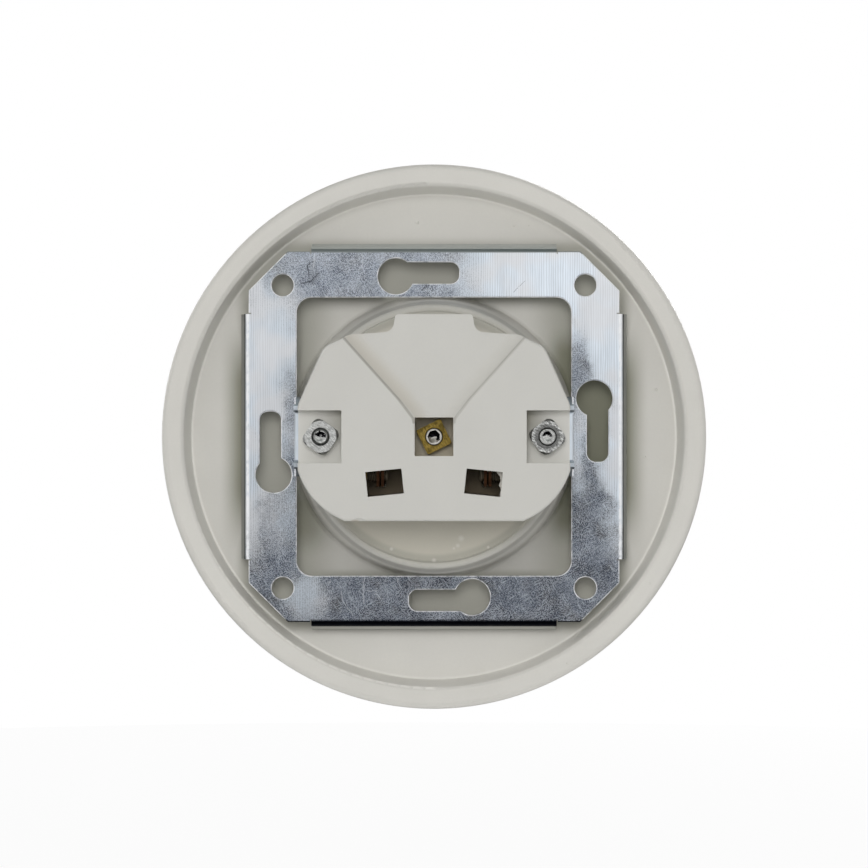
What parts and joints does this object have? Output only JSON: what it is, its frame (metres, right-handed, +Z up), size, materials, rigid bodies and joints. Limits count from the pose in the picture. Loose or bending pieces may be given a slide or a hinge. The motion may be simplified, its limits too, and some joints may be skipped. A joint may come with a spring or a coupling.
{
  "type": "type f wall socket",
  "caption": "Round ceramic type F wall socket: dished cover with plug well, steel mounting frame with keyhole slots, and porcelain base with wire funnel and terminals.",
  "frame": {"origin": "middle of the mounting frame's rear face, in the plane of the wall", "axes": "+Z up as hung, -Y out into the room, +Y into the wall, +X to the right as seen from the room"},
  "size_m": [0.1, 0.0385, 0.1],
  "materials": {
    "cover_ceramic": "warm pale grey, satin, with a rougher back of the well",
    "base_porcelain": "matt pale grey porcelain",
    "frame_zinc": "bluish zinc plating with rolling streaks",
    "fixing_zinc": "bright zinc plating",
    "earth_nickel": "bright nickel plating",
    "earth_brass": "plain turned brass",
    "contact_copper": "bare copper alloy strip"
  },
  "bodies": {
    "root": {"cover_plate": "cover_ceramic", "socket_base": "base_porcelain", "mounting_frame": "frame_zinc", "base_screw_left": "fixing_zinc", "base_screw_right": "fixing_zinc", "base_nut_left": "fixing_zinc", "base_nut_right": "fixing_zinc", "terminal_screw_left": "fixing_zinc", "terminal_screw_right": "fixing_zinc", "earth_bracket": "earth_nickel", "earth_screw": "earth_nickel", "earth_nut": "earth_brass", "clamp_plate_left": "earth_brass", "clamp_plate_right": "earth_brass", "contact_left": "contact_copper", "contact_right": "contact_copper"}
  },
  "joints": []
}
